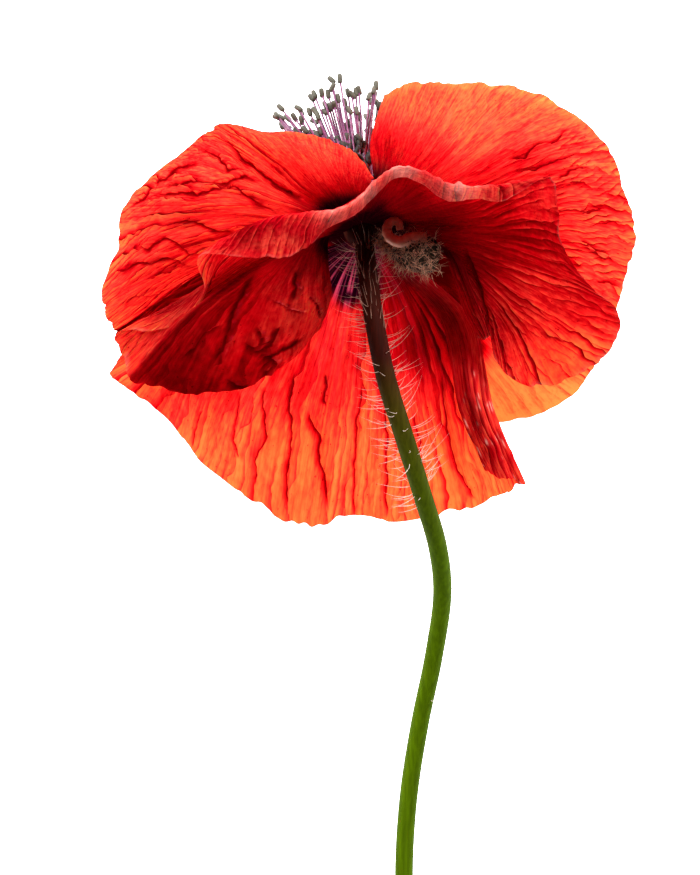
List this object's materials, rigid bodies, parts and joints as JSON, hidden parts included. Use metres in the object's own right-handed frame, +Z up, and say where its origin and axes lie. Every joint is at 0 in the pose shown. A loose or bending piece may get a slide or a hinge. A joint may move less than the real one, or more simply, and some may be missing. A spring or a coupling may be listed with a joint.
{
  "type": "poppy flower",
  "caption": "Picked common poppy lying with its back up: crumpled petals, a bristly arched stem, a sepal, a pistil and stamens.",
  "frame": {"origin": "on the surface that the flower lies on, in the middle of its bounding box", "axes": "+Z up, away from the surface; the stem points to -Y and the stamens to +Y; +X is to the right when seen from above with the stem towards the viewer"},
  "size_m": [0.0728, 0.1174, 0.0454],
  "materials": {
    "petal_outer": "thin, crumpled, translucent scarlet petal",
    "petal_inner": "thin, crumpled, translucent orange-scarlet petal",
    "stem": "green stem with spreading bristles",
    "sepal": "withered, densely bristly green-brown sepal",
    "pistil": "pale green ovary with a dark-rayed lid",
    "stamens": "dark violet filaments with olive-black anthers"
  },
  "bodies": {
    "root": {"petal_outer_raised": "petal_outer", "petal_outer_hanging": "petal_outer", "petal_inner_left": "petal_inner", "petal_inner_right": "petal_inner", "stem": "stem", "sepal": "sepal", "pistil": "pistil", "stamens": "stamens"}
  },
  "joints": []
}
